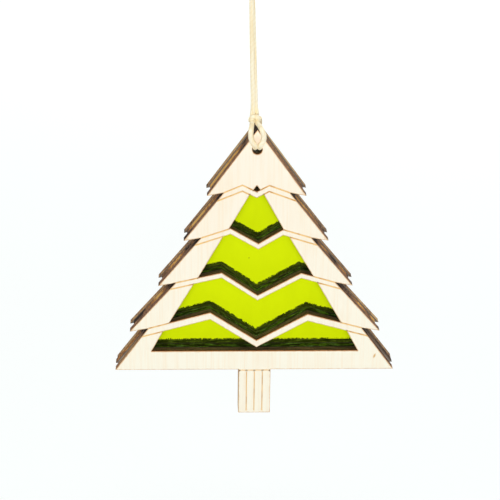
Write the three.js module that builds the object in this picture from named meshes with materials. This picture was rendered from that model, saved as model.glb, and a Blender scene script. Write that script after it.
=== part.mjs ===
// A hanging Christmas tree ornament. Three frames cut from thin birch sheet and a
// green backing panel are glued face to face, and a doubled cotton cord is
// hitched through a small hole under the apex.
// Millimetres, +Z up. The front of the tree looks along -Y.
// The origin is the top of the cord's eye, where a hook would carry it.
import * as THREE from 'three';

// Outline of the tree
const treeWidth = 86.8; // base tier, from tip to tip
const treeHeight = 78.2; // base edge up to the apex
const trunkWidth = 10;
const trunkLength = 15.2; // below the base edge

// Sheets, from the front to the back
const frameThickness = 3;
const panelThickness = 1;
const middleTipRise = 1.3; // the middle frame's wings end this much higher on their sides
const middleBaseLift = 0.7; // base edges of the frames behind are a little higher
const rearBaseLift = 0.75;
const rearTurn = 0.2; // degrees; the rear frame and the panel are glued a little askew
const panelInset = 0.3; // the panel's outline stands back this far from the rear frame's

// Hanging hole
const holeDiameter = 3;
const holeBelowApex = 6.1;
const holeSides = 24;

// Zigzag bars that cross the window, each with its own height
const barHeights = [1.9, 1.8, 1.65, 2.25];
const windowFloor = 6.1; // the lowest window's flat bottom, above the base edge

// Where the tree hangs from the origin
const hangHeight = 125; // origin above the base edge
const hangOffset = 2.15; // the tree's axis is this far along +X from the origin
const balanceDepth = 5.2; // front face ahead of the cord, which hangs at the balance

// Cord
const cordDiameter = 1.2;
const cordSides = 8;
const cordStep = 3; // along the free stretches
const hitchStep = 0.95; // along the hitch, which bends tightly
const knotDiameter = 4.2;
const knotHeight = 4.4;
const knotBase = 0.9; // above the origin
const knotRings = 10;

// Wing tips and the notches above the next tier, from the top tier down, as
// shares of half the tree's width and of its height
const tipShares = [[0.344, 0.735], [0.506, 0.55], [0.686, 0.36], [0.892, 0.1645], [1, 0]];
const notchShares = [[0.228, 0.748], [0.385, 0.562], [0.562, 0.374], [0.761, 0.178]];

// The rear frame is cut a little larger
const rearApexShare = 1.006;
const rearTipShares = [[0.346, 0.7405], [0.508, 0.554], [0.692, 0.363], [0.897, 0.168], [0.994, 0]];
const rearNotchShares = [[0.232, 0.752], [0.389, 0.566], [0.566, 0.377], [0.762, 0.179]];

// Upper edge of each bar between the notches: left peak, middle dip, right peak
const barShares = [
  [[-0.1, 0.779], [0, 0.751], [0.086, 0.7775]],
  [[-0.18, 0.601], [0.016, 0.537], [0.189, 0.596]],
  [[-0.24, 0.415], [0.015, 0.3185], [0.321, 0.413]],
  [[-0.32, 0.245], [0.011, 0.1235], [0.374, 0.237]],
];

// Half widths of the windows at their upper and lower corners
const windowShares = [[0, 0.025], [0.048, 0.176], [0.234, 0.4], [0.446, 0.61], [0.658, 0.737]];
const topWindowHeightShare = 0.7775; // apex of the smallest window

const birch = new THREE.MeshStandardMaterial({ color: 0xfbedd0, roughness: 0.65 });
const greenPaint = new THREE.MeshStandardMaterial({ color: 0xd6ea00, roughness: 0.5 });
const cottonCord = new THREE.MeshStandardMaterial({ color: 0xf6e9c6, roughness: 0.9 });

function onTree([acrossShare, upShare]) {
  return new THREE.Vector2((acrossShare * treeWidth) / 2, upShare * treeHeight);
}

// The point of a straight edge at a given height
function atHeight(start, end, height) {
  const share = (height - start.y) / (end.y - start.y);
  return new THREE.Vector2().lerpVectors(start, end, share);
}

// The right half from the first tip down, then its mirror image, with the trunk
function treeOutline(apexShare, tips, notches, baseLift) {
  const half = [];
  tips.forEach((tip, tier) => {
    half.push(tip.clone());
    if (tier < notches.length) half.push(notches[tier].clone());
  });
  half[half.length - 1].y += baseLift;
  half.push(new THREE.Vector2(trunkWidth / 2, baseLift));
  half.push(new THREE.Vector2(trunkWidth / 2, -trunkLength));
  const mirrored = half.map((point) => new THREE.Vector2(-point.x, point.y)).reverse();
  return [new THREE.Vector2(0, apexShare * treeHeight), ...half, ...mirrored];
}

function frontOutline() {
  return treeOutline(1, tipShares.map(onTree), notchShares.map(onTree), 0);
}

// The wings above the base tier end higher up their own sides
function middleOutline() {
  const notches = notchShares.map(onTree);
  const starts = [new THREE.Vector2(0, treeHeight), ...notches];
  const tips = tipShares.map(onTree);
  const risen = tips.map((tip, tier) => (
    tier < notches.length ? atHeight(starts[tier], tip, tip.y + middleTipRise) : tip));
  return treeOutline(1, risen, notches, middleBaseLift);
}

function rearOutline() {
  const tips = rearTipShares.map(onTree);
  const notches = rearNotchShares.map(onTree);
  const straight = treeOutline(rearApexShare, tips, notches, rearBaseLift);
  const apex = straight[0].clone();
  return straight.map((point) => point.rotateAround(apex, THREE.MathUtils.degToRad(rearTurn)));
}

// Moves every edge of a clockwise outline inwards and meets the edges again
function insetOutline(points, distance) {
  const edges = points.map((start, index) => {
    const end = points[(index + 1) % points.length];
    const along = end.clone().sub(start).normalize();
    const inwards = new THREE.Vector2(along.y, -along.x);
    return { start: start.clone().addScaledVector(inwards, distance), along };
  });
  return edges.map((edge, index) => {
    const before = edges[(index + edges.length - 1) % edges.length];
    const gap = edge.start.clone().sub(before.start);
    const reach = gap.cross(edge.along) / before.along.cross(edge.along);
    return before.start.clone().addScaledVector(before.along, reach);
  });
}

// Upper edge of a bar from notch to notch, and the same edge one bar height lower
function barEdge(bar, drop) {
  const notch = onTree(notchShares[bar]);
  const peaks = barShares[bar].map(onTree);
  const edge = [new THREE.Vector2(-notch.x, notch.y), ...peaks, notch];
  return edge.map((point) => new THREE.Vector2(point.x, point.y - drop));
}

// The stretch of an edge between two places across the tree
function edgeBetween(edge, left, right) {
  const cut = (x) => {
    const next = edge.findIndex((point) => point.x > x);
    const [start, end] = [edge[next - 1], edge[next]];
    return new THREE.Vector2().lerpVectors(start, end, (x - start.x) / (end.x - start.x));
  };
  const inside = edge.filter((point) => point.x > left && point.x < right);
  return [cut(left), ...inside, cut(right)];
}

// One window, between the bar above it and the bar or floor below it, wound
// the other way from the tree's outline
function windowOutline(row) {
  const [upper, lower] = windowShares[row].map((share) => (share * treeWidth) / 2);
  const top = row === 0
    ? [new THREE.Vector2(0, topWindowHeightShare * treeHeight)]
    : edgeBetween(barEdge(row - 1, barHeights[row - 1]), -upper, upper);
  const bottom = row === barShares.length
    ? [new THREE.Vector2(-lower, windowFloor), new THREE.Vector2(lower, windowFloor)]
    : edgeBetween(barEdge(row, 0), -lower, lower);
  return [...bottom, ...top.reverse()];
}

// Cuts a sheet with the hanging hole and any windows, its front face at a depth
function cutSheet(name, outline, windows, depth, thickness, material) {
  const shape = new THREE.Shape(outline);
  windows.forEach((points) => shape.holes.push(new THREE.Path(points)));
  const hole = new THREE.Path();
  hole.absarc(0, treeHeight - holeBelowApex, holeDiameter / 2, 0, 2 * Math.PI);
  shape.holes.push(new THREE.Path(hole.getPoints(holeSides)));
  const geometry = new THREE.ExtrudeGeometry(shape, { depth: thickness, bevelEnabled: false });
  geometry.rotateX(Math.PI / 2).translate(0, depth + thickness, 0);
  const mesh = new THREE.Mesh(geometry, material);
  mesh.name = name;
  return mesh;
}

// The glued stack of sheets, hung below and beside the origin
function treeStack() {
  const windows = windowShares.map((_, row) => windowOutline(row));
  const front = -balanceDepth;
  const middle = front + frameThickness;
  const rear = middle + frameThickness;
  const back = rear + frameThickness;
  const panelOutline = insetOutline(rearOutline(), panelInset);
  const tree = new THREE.Group();
  tree.add(
    cutSheet('front_frame', frontOutline(), windows, front, frameThickness, birch),
    cutSheet('middle_frame', middleOutline(), windows, middle, frameThickness, birch),
    cutSheet('rear_frame', rearOutline(), windows, rear, frameThickness, birch),
    cutSheet('backing_panel', panelOutline, [], back, panelThickness, greenPaint),
  );
  tree.position.set(hangOffset, 0, -hangHeight);
  return tree;
}

// A round cord along points chosen by hand
function cordTube(name, points, step) {
  const route = new THREE.CatmullRomCurve3(
    points.map(([x, y, z]) => new THREE.Vector3(x, y, z)), false, 'centripetal');
  const section = new THREE.Shape();
  section.absarc(0, 0, cordDiameter / 2, 0, 2 * Math.PI);
  const round = new THREE.Shape(section.getPoints(cordSides / 2).slice(0, cordSides));
  const steps = Math.max(2, Math.ceil(route.getLength() / step));
  const geometry = new THREE.ExtrudeGeometry(round, { steps, extrudePath: route });
  const mesh = new THREE.Mesh(geometry, cottonCord);
  mesh.name = name;
  return mesh;
}

// Two strands rise side by side from the hitch, leaning to the left
const frontStrand = [
  [1.19, -0.64, -43.35], [0.95, -0.57, -41], [0.82, -0.6, -35], [0.64, -0.62, -28],
  [0.44, -0.63, -21], [0.27, -0.64, -14], [0.14, -0.65, -8.15],
];
const backStrand = [
  [1.53, 0.64, -43.35], [1.61, 0.57, -41], [1.36, 0.6, -35], [1.1, 0.62, -28],
  [0.86, 0.63, -21], [0.59, 0.64, -14], [0.36, 0.65, -8.15],
];

// They part round the hook's place and meet again under the knot
const frontEye = [
  [0.14, -0.66, -7.85], [0.12, -0.9, -6.9], [0.08, -1.6, -5.2], [0.03, -1.9, -3.4],
  [0, -1.5, -1.5], [0, -0.85, -0.2], [0, -0.7, 0.6],
];
const backEye = [
  [0.35, 0.66, -7.85], [0.3, 0.9, -6.9], [0.18, 1.6, -5.2], [0.08, 1.9, -3.4],
  [0, 1.5, -1.5], [0, 0.85, -0.2], [0, 0.7, 0.6],
];

// Cut ends of the cord stand up out of the knot
const leftEnd = [[-0.7, 0, 5.6], [-0.95, -0.1, 7.4], [-1.3, -0.3, 9.6]];
const rightEnd = [[0.7, 0, 5.6], [0.9, 0.15, 7.2], [1.35, 0.35, 9]];

// The hitch runs down the front on the left, back through the hole, up the back,
// round the two strands, and the same way back on the right
const hitch = [
  [1.19, -0.64, -43.7], [1.15, -0.7, -44.25], [0.98, -1.1, -44.95], [0.7, -2.05, -45.45],
  [0.46, -3.4, -45.75], [0.3, -4.8, -46.05], [0.15, -5.65, -46.65], [0.03, -5.98, -47.55],
  [0.05, -5.95, -48.6], [0.33, -5.93, -49.8], [0.8, -5.92, -50.75], [1.2, -5.92, -51.45],
  [1.41, -5.72, -52.05], [1.47, -5.2, -52.4], [1.49, -4.2, -52.46], [1.49, 0, -52.46],
  [1.49, 3, -52.46], [1.47, 4.35, -52.46], [1.44, 4.95, -52.37], [1.4, 5.42, -51.95],
  [1.34, 5.57, -51.2], [1.2, 5.57, -49.5], [1, 5.54, -47.6], [0.72, 5, -46.3],
  [0.3, 3.7, -45.35], [-0.08, 2, -45.05], [-0.28, 0.3, -45], [-0.33, -0.85, -44.9],
  [-0.16, -1.6, -44.5], [0.06, -2, -43.85], [0.58, -2.2, -43.2], [1.33, -2.27, -42.95],
  [2.08, -2.2, -43.2], [2.6, -2, -43.85], [2.85, -1.6, -44.42], [3.07, -0.85, -44.78],
  [3.07, 0.3, -44.95], [3.06, 2, -45.05], [3.1, 3.7, -45.35], [3.15, 5, -46.3],
  [3.2, 5.54, -47.6], [3.1, 5.57, -49.5], [2.96, 5.57, -51.2], [2.89, 5.42, -51.95],
  [2.86, 4.95, -52.37], [2.83, 4.35, -52.46], [2.81, 3, -52.46], [2.81, 0, -52.46],
  [2.81, -4.2, -52.46], [2.83, -5.2, -52.4], [2.91, -5.72, -52.05], [3.13, -5.92, -51.45],
  [3.62, -5.92, -50.6], [4.05, -5.93, -49.4], [4.08, -5.97, -48.3], [3.82, -5.98, -47.45],
  [3.42, -5.65, -46.65], [2.98, -4.8, -46.15], [2.62, -3.4, -45.9], [2.26, -2.05, -45.72],
  [2.04, -0.85, -45.48], [1.84, -0.05, -45.17], [1.63, 0.42, -44.68], [1.53, 0.6, -44.15],
  [1.53, 0.64, -43.7],
];

function knotSolid() {
  const geometry = new THREE.SphereGeometry(1 / 2, 2 * knotRings, knotRings);
  geometry.rotateX(Math.PI / 2).scale(knotDiameter, knotDiameter, knotHeight);
  const mesh = new THREE.Mesh(geometry, cottonCord);
  mesh.position.z = knotBase + knotHeight / 2;
  mesh.name = 'cord_knot';
  return mesh;
}

function cordLoop() {
  const cord = new THREE.Group();
  cord.add(
    cordTube('cord_hitch', hitch, hitchStep),
    cordTube('cord_strand_front', frontStrand, cordStep),
    cordTube('cord_strand_back', backStrand, cordStep),
    cordTube('cord_eye_front', frontEye, cordStep),
    cordTube('cord_eye_back', backEye, cordStep),
    cordTube('cord_end_left', leftEnd, cordStep),
    cordTube('cord_end_right', rightEnd, cordStep),
    knotSolid(),
  );
  return cord;
}

const ornament = new THREE.Group();
ornament.add(treeStack(), cordLoop());

export default ornament;
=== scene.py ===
"""Dresses a hanging Christmas tree ornament of laser-cut birch over its fixed frame.

The tree is three birch sheets over a green backing panel, and hangs on a doubled cotton cord.
Sizes are in millimetres on the tree: x to the right of its axis, y behind its front face and
z above its base edge. They become metres in the frame only where a mesh is made.
"""

import logging
import math
from dataclasses import dataclass, field
from enum import Enum

import bmesh
import bpy
import numpy as np
from mathutils import Matrix, Vector
from mathutils.geometry import delaunay_2d_cdt


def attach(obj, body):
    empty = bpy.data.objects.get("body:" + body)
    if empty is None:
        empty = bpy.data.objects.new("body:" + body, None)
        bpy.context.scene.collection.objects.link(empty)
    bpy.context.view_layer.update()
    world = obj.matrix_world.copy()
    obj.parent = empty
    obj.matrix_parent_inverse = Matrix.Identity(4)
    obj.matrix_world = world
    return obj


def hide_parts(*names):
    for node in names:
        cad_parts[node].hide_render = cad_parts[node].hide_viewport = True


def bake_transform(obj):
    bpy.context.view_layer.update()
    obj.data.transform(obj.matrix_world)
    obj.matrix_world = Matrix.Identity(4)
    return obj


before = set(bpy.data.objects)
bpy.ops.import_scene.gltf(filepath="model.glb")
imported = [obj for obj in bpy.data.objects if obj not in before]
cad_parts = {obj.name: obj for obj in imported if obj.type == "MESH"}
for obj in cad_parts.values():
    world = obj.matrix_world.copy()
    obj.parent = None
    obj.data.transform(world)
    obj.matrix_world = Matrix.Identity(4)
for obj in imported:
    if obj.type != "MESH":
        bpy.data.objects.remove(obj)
log = logging.getLogger("ornament")

MM = 0.001
TREE_ORIGIN = np.array([2.15, -5.2, -125.0])  # the tree's own origin in the frame


# Numbers and colours

def linear(colour: str) -> tuple[float, float, float, float]:
    """An sRGB colour of six hex digits after a hash as linear red, green, blue and alpha."""
    parts = [int(colour[i:i + 2], 16) / 255 for i in (1, 3, 5)]
    return (*[c / 12.92 if c <= 0.04045 else ((c + 0.055) / 1.055) ** 2.4 for c in parts], 1.0)


def in_frame(points: np.ndarray | tuple[float, float, float]) -> np.ndarray:
    """Moves points on the tree, in millimetres, into the frame, in metres."""
    return (np.asarray(points, float) + TREE_ORIGIN) * MM


# Flat outlines

def area_of(loop: np.ndarray) -> float:
    """A closed loop's area by the shoelace formula, above zero when it runs anticlockwise."""
    x, z = loop.T
    return 0.5 * float(np.sum(x * np.roll(z, -1) - np.roll(x, -1) * z))


def offset_loop(loop: np.ndarray, distance: float) -> np.ndarray:
    """Moves every side of a closed loop outwards and meets the sides again at mitred corners.

    The corner p moves by d (n1 + n2) / (1 + n1 . n2), n1 and n2 being its sides' outward normals.

    Args:
        loop: rows of x and z.
        distance: how far the sides move; below zero moves them inwards.

    Returns:
        The moved loop, with as many corners.
    """
    along = np.roll(loop, -1, axis=0) - loop
    along /= np.linalg.norm(along, axis=1)[:, None]
    outward = np.stack([along[:, 1], -along[:, 0]], axis=1) * np.sign(area_of(loop))
    before = np.roll(outward, 1, axis=0)
    share = 1 + np.sum(outward * before, axis=1)
    return loop + distance * (outward + before) / share[:, None]


def offset_line(line: np.ndarray, distance: float) -> np.ndarray:
    """Moves an open line to its left by the same mitre rule as offset_loop.

    Args:
        line: rows of x and z.
        distance: how far to the left; below zero moves it right.

    Returns:
        The moved line.
    """
    along = np.diff(line, axis=0)
    along /= np.linalg.norm(along, axis=1)[:, None]
    left = np.stack([-along[:, 1], along[:, 0]], axis=1)
    first, second = np.vstack([left[:1], left]), np.vstack([left, left[-1:]])
    return line + distance * (first + second) / (1 + np.sum(first * second, axis=1))[:, None]


def along_line(line: np.ndarray, step: float) -> np.ndarray:
    """Points at even steps along an open line, both ends and all corners included.

    Args:
        line: rows of x and z.
        step: the longest step, in millimetres.

    Returns:
        The points in order.
    """
    runs = [np.linspace(a, b, max(2, math.ceil(float(np.linalg.norm(b - a)) / step) + 1))[:-1]
            for a, b in zip(line[:-1], line[1:])]
    return np.vstack([*runs, line[-1:]])


def spaced(loop: np.ndarray, like: np.ndarray, step: float) -> np.ndarray:
    """Points at even steps along a loop, as many on each side as the same side of another needs.

    Args:
        loop: the loop to divide.
        like: a loop with as many corners, whose sides settle the counts.
        step: the longest step on that loop.

    Returns:
        The divided loop.
    """
    ends, like_ends = np.roll(loop, -1, axis=0), np.roll(like, -1, axis=0)
    counts = np.maximum(1, np.ceil(np.linalg.norm(like_ends - like, axis=1) / step)).astype(int)
    return np.vstack([np.linspace(a, b, count, endpoint=False)
                      for a, b, count in zip(loop, ends, counts)])


def distance_to(points: np.ndarray, loops: list[np.ndarray]) -> np.ndarray:
    """Distance from each point to the nearest side of any loop.

    Each point is dropped on each side, the drop clamped to the side's ends.

    Args:
        points: rows of x and z.
        loops: closed loops.

    Returns:
        One distance for each point.
    """
    best = np.full(len(points), np.inf)
    for loop in loops:
        start, end = loop, np.roll(loop, -1, axis=0)
        run = end - start
        share = np.einsum("pij,ij->pi", points[:, None] - start, run) / np.sum(run * run, axis=1)
        foot = start + np.clip(share, 0, 1)[..., None] * run
        best = np.minimum(best, np.linalg.norm(points[:, None] - foot, axis=2).min(axis=1))
    return best


def is_inside(points: np.ndarray, loop: np.ndarray) -> np.ndarray:
    """Whether each point is inside a loop: a ray to the right crosses an odd number of sides.

    Args:
        points: rows of x and z.
        loop: a closed loop.

    Returns:
        One truth value for each point.
    """
    (x0, z0), (x1, z1) = loop.T, np.roll(loop, -1, axis=0).T
    px, pz = points[:, :1], points[:, 1:]
    spans = (z0 > pz) != (z1 > pz)
    with np.errstate(divide="ignore", invalid="ignore"):
        crossing = x0 + (pz - z0) / (z1 - z0) * (x1 - x0)
    return (np.sum(spans & (px < crossing), axis=1) % 2).astype(bool)


Shares = tuple[tuple[float, float], ...]  # of half the tree's width and of its height


@dataclass(frozen=True)
class TreePlan:
    """The sheets' outlines, windows and score lines, all from a few real sizes."""

    width: float = 86.8
    height: float = 78.2
    trunk_width: float = 10.0
    trunk_length: float = 15.4
    hole_radius: float = 1.5
    hole_below_apex: float = 6.1
    window_floor: float = 6.05
    middle_tip_rise: float = 1.3
    front_lift: float = -0.25
    middle_lift: float = 0.7
    rear_lift: float = 0.75
    rear_turn: float = 0.1  # degrees
    panel_inset: float = 0.3
    bar_heights: tuple[float, ...] = (1.9, 1.8, 1.65, 2.25)
    tips: Shares = ((0.344, 0.735), (0.506, 0.55), (0.686, 0.36), (0.892, 0.1645), (1.0, 0.0))
    notches: Shares = ((0.228, 0.748), (0.385, 0.562), (0.562, 0.374), (0.761, 0.178))
    rear_apex: float = 1.006
    rear_tips: Shares = (
        (0.348, 0.7405), (0.505, 0.554), (0.689, 0.363), (0.8965, 0.1653), (0.996, 0.0))
    rear_notches: Shares = ((0.23, 0.752), (0.3865, 0.566), (0.562, 0.377), (0.765, 0.179))
    bar_shares: tuple[Shares, ...] = (
        ((-0.1, 0.779), (0.0, 0.751), (0.086, 0.7775)),
        ((-0.18, 0.601), (0.016, 0.537), (0.189, 0.596)),
        ((-0.24, 0.415), (0.015, 0.3185), (0.321, 0.413)),
        ((-0.32, 0.245), (0.011, 0.1235), (0.374, 0.237)))
    window_shares: tuple[tuple[float, float], ...] = (  # half of each window's top and of its foot
        (0.0, 0.025), (0.048, 0.191), (0.23, 0.407), (0.436, 0.613), (0.656, 0.741))
    top_window_share: float = 0.7775
    trunk_lines: tuple[float, ...] = (-2.5, -0.05, 2.45)
    across_line_drop: float = 0.5  # the line across the trunk's top, below zero
    trunk_lines_drop: float = 0.85  # the tops of the lines down it, below zero
    trunk_lines_stop: float = 0.55  # their feet, above the trunk's end
    trunk_burns_drop: float = 0.65  # the burnt dots there, below zero
    trunk_burns_half: float = 4.75  # the outer two of them, to each side

    def on_tree(self, shares: Shares | tuple[float, float]) -> np.ndarray:
        """Turns shares of half the width and of the height into points, or one such pair."""
        return np.array(shares) * [self.width, self.height] / [2, 1]

    def outline(self, apex_share: float, tips: np.ndarray, notches: np.ndarray,
                lift: float) -> np.ndarray:
        """A closed outline, clockwise from the apex.

        Args:
            apex_share: the apex as a share of the height.
            tips: the right half's tips from the top, the base tip last.
            notches: the right half's notches.
            lift: how far the base edge lies above zero.

        Returns:
            Rows of x and z.
        """
        half = np.zeros((2 * len(tips) + 1, 2))
        half[0:2 * len(tips):2] = tips
        half[1:2 * len(notches):2] = notches
        half[-3, 1] += lift
        half[-2:] = [[self.trunk_width / 2, lift], [self.trunk_width / 2, -self.trunk_length]]
        return np.vstack([[[0.0, apex_share * self.height]], half, (half * [-1, 1])[::-1]])

    def front_outline(self) -> np.ndarray:
        """The front frame's outline."""
        tips, notches = self.on_tree(self.tips), self.on_tree(self.notches)
        return self.outline(1.0, tips, notches, self.front_lift)

    def middle_outline(self) -> np.ndarray:
        """The middle frame's outline, whose wings end higher up their own sides.

        Returns:
            Rows of x and z.
        """
        tips, notches = self.on_tree(self.tips), self.on_tree(self.notches)
        starts = np.vstack([[[0.0, self.height]], notches])[:-1]
        share = self.middle_tip_rise / (starts[:, 1] - tips[:-1, 1])
        tips[:-1] += share[:, None] * (starts - tips[:-1])
        return self.outline(1.0, tips, notches, self.middle_lift)

    def rear_outline(self) -> np.ndarray:
        """The rear frame's outline, a little larger, and turned a little about its apex.

        Returns:
            Rows of x and z.
        """
        tips, notches = self.on_tree(self.rear_tips), self.on_tree(self.rear_notches)
        straight = self.outline(self.rear_apex, tips, notches, self.rear_lift)
        turn = math.radians(self.rear_turn)
        spin = np.array([[math.cos(turn), -math.sin(turn)], [math.sin(turn), math.cos(turn)]])
        return straight[0] + (straight - straight[0]) @ spin.T

    def panel_outline(self) -> np.ndarray:
        """The backing panel's outline, just inside the rear frame's."""
        return offset_loop(self.rear_outline(), -self.panel_inset)

    def bar_edge(self, bar: int, drop: float) -> np.ndarray:
        """A bar's edge from notch to notch, moved down by drop."""
        notch, middle = self.on_tree(self.notches[bar]), self.on_tree(self.bar_shares[bar])
        return np.vstack([notch * [-1, 1], middle, notch]) - [0, drop]

    def edge_between(self, edge: np.ndarray, left: float, right: float) -> np.ndarray:
        """The stretch of an edge between two places across the tree.

        Args:
            edge: rows of x and z from left to right.
            left: where the stretch starts.
            right: where it ends.

        Returns:
            Rows of x and z, with both places among them.
        """
        ends = np.array([[x, np.interp(x, edge[:, 0], edge[:, 1])] for x in (left, right)])
        inside = edge[(edge[:, 0] > left) & (edge[:, 0] < right)]
        return np.vstack([ends[:1], inside, ends[1:]])

    def window(self, row: int) -> np.ndarray:
        """One window's loop, anticlockwise from its lower left corner.

        Args:
            row: the window's number from the top, the first being 0.

        Returns:
            Rows of x and z.
        """
        upper, lower = (share * self.width / 2 for share in self.window_shares[row])
        if row == 0:
            top = np.array([[0.0, self.top_window_share * self.height]])
        else:
            above = self.bar_edge(row - 1, self.bar_heights[row - 1])
            top = self.edge_between(above, -upper, upper)
        if row == len(self.bar_shares):
            bottom = np.array([[-lower, self.window_floor], [lower, self.window_floor]])
        else:
            bottom = self.edge_between(self.bar_edge(row, 0), -lower, lower)
        return np.vstack([bottom, top[::-1]])

    def windows(self) -> list[np.ndarray]:
        """All the windows' loops, from the top."""
        return [self.window(row) for row in range(len(self.window_shares))]

    def hole(self, sides: int = 40) -> np.ndarray:
        """The hanging hole as a loop.

        Args:
            sides: how many points it has, at equal turns.

        Returns:
            Rows of x and z.
        """
        turn = np.linspace(0, 2 * np.pi, sides, endpoint=False)
        centre = [0, self.height - self.hole_below_apex]
        return centre + self.hole_radius * np.stack([np.cos(turn), np.sin(turn)], axis=1)

    def side_meeting(self, bar: int) -> np.ndarray:
        """Where a bar's lower edge, run on past the notch, meets the next tier's right side.

        Args:
            bar: the bar's number from the top, the first being 0.

        Returns:
            The place's x and z.
        """
        edge = self.bar_edge(bar, self.bar_heights[bar])
        notch, tip = self.on_tree(self.notches[bar]), self.on_tree(self.tips[bar + 1])
        run, side = edge[-1] - edge[-2], tip - notch
        share = np.linalg.solve(np.stack([run, -side], axis=1), notch - edge[-2])[0]
        return edge[-2] + share * run

    def bar_score_lines(self) -> list[np.ndarray]:
        """The engraved lines that run each bar's two edges out over the wings.

        Returns:
            Open lines of x and z, each from its window to the notch or side.
        """
        lines = []
        for bar, height in enumerate(self.bar_heights):
            upper, lower = self.bar_edge(bar, 0), self.bar_edge(bar, height)
            over = self.window_shares[bar][1] * self.width / 2
            under = self.window_shares[bar + 1][0] * self.width / 2
            outer = self.side_meeting(bar)
            lower[0], lower[-1] = outer * [-1, 1], outer
            for line, near in ((upper, over), (lower, under)):
                lines.append(self.edge_between(line, line[0, 0], -near)[::-1])
                lines.append(self.edge_between(line, near, line[-1, 0]))
        return lines

    def trunk_score_lines(self) -> list[np.ndarray]:
        """The line across the top of the trunk and the three down it.

        Returns:
            Open lines of x and z.
        """
        half, drop = self.trunk_width / 2, self.across_line_drop
        top, foot = -self.trunk_lines_drop, self.trunk_lines_stop - self.trunk_length
        across = np.array([[-half, -drop], [half, -drop]])
        return [across, *[np.array([[x, top], [x, foot]]) for x in self.trunk_lines]]

    def burn_points(self) -> np.ndarray:
        """Where the laser dwells: window corners, the first bar's dip and the trunk's top.

        Returns:
            Rows of x and z.
        """
        corners = [line[0] for line in self.bar_score_lines()]
        across = (-self.trunk_burns_half, *self.trunk_lines, self.trunk_burns_half)
        return np.array([*corners, self.on_tree(self.bar_shares[0][1]),
                         *[[x, -self.trunk_burns_drop] for x in across]])


# Materials

COLOURS = {"data_type": "RGBA"}  # settings of a Mix node for colours
Size = tuple[float, float, float]  # millimetres along X, Y and Z


class Nodes:
    """Adds the nodes of one material or of the world."""

    def __init__(self, owner: bpy.types.Material | bpy.types.World) -> None:
        """Starts the owner's empty tree.

        Args:
            owner: the material or the world.
        """
        self.owner = owner
        self.owner.use_nodes = True
        self.tree = self.owner.node_tree
        self.tree.nodes.clear()

    def add(self, kind: str, settings: dict[str, object] | None = None, out: int | str = 0,
            **inputs: object) -> bpy.types.NodeSocket | None:
        """Adds a node, sets it and links it.

        Args:
            kind: the node's Blender type without its ShaderNode.
            settings: node properties by name.
            out: which output to return.
            inputs: for each socket, by name with _ for a space or by i and its number, a value, a
                hex colour or an output to link.

        Returns:
            The chosen output, or nothing where the node has none.
        """
        node = self.tree.nodes.new("ShaderNode" + kind)
        for key, value in (settings or {}).items():
            setattr(node, key, value)
        for key, value in inputs.items():
            socket = node.inputs[int(key[1:])] if key[0] == "i" and key[1:].isdigit() \
                else node.inputs[key.replace("_", " ")]
            if isinstance(value, bpy.types.NodeSocket):
                self.tree.links.new(value, socket)
            else:
                socket.default_value = linear(value) if isinstance(value, str) else value
        return node.outputs[out] if len(node.outputs) else None

    def blotches(self, size: Size, detail: float = 3.0,
                 roughness: float = 0.5) -> bpy.types.NodeSocket:
        """A pattern of soft blotches.

        Args:
            size: a blotch's size.
            detail: how many finer patterns are added.
            roughness: how strong they are.

        Returns:
            A number about 0.5.
        """
        where = self.add("TexCoord", out="Object")
        scaled = self.add("Mapping", Vector=where, Scale=tuple(1000 / length for length in size))
        return self.add("TexNoise", Vector=scaled, Scale=1.0, Detail=detail, Roughness=roughness)

    def tinted(self, under: object, over: object, pattern: bpy.types.NodeSocket, low: float,
               high: float, most: float) -> bpy.types.NodeSocket:
        """Lays one colour over another where a pattern goes from low to high.

        Args:
            under: the colour beneath, hex or an output.
            over: the colour on top, hex or an output.
            pattern: the number that settles the amount.
            low: where the tint starts; above high, it fades as the pattern rises.
            high: where the tint is full.
            most: how much of the upper colour there is at full tint.

        Returns:
            The mixed colour.
        """
        start, end, first, last = (low, high, 0.0, most) if low < high else (high, low, most, 0.0)
        amount = self.add("MapRange", i0=pattern, i1=start, i2=end, i3=first, i4=last)
        return self.add("Mix", COLOURS, 2, i0=amount, i6=under, i7=over)

    def from_cut(self, ragged: bpy.types.NodeSocket, least: float,
                 most: float) -> bpy.types.NodeSocket:
        """The distance to the nearest cut, as a share of a reach that varies with a pattern.

        Args:
            ragged: the pattern, a number about 0.5.
            least: the shortest reach, in millimetres.
            most: the longest.

        Returns:
            0 at the cut and 1 where the reach ends.
        """
        reach = self.add("MapRange", i0=ragged, i1=0.3, i2=0.7, i3=least, i4=most)
        cut = self.add("Attribute", {"attribute_name": "cut_mm"}, "Fac")
        return self.add("Math", {"operation": "DIVIDE"}, i0=cut, i1=reach)

    def finish(self, colour: object, roughness: object, height: bpy.types.NodeSocket | None = None,
               relief: float = 0.05, **shader: object) -> bpy.types.Material:
        """Ends the material in a Principled shader.

        Args:
            colour: hex or an output.
            roughness: a number or an output.
            height: relief from 0 to 1, if any.
            relief: the depth in millimetres that a height of 1 stands for.
            shader: further sockets of the shader.

        Returns:
            The material.
        """
        if height is not None:
            shader["Normal"] = self.add("Bump", Height=height, Distance=relief * MM, Strength=1.0)
        body = self.add("BsdfPrincipled", Base_Color=colour, Roughness=roughness, **shader)
        self.add("OutputMaterial", Surface=body)
        return self.owner


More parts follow.
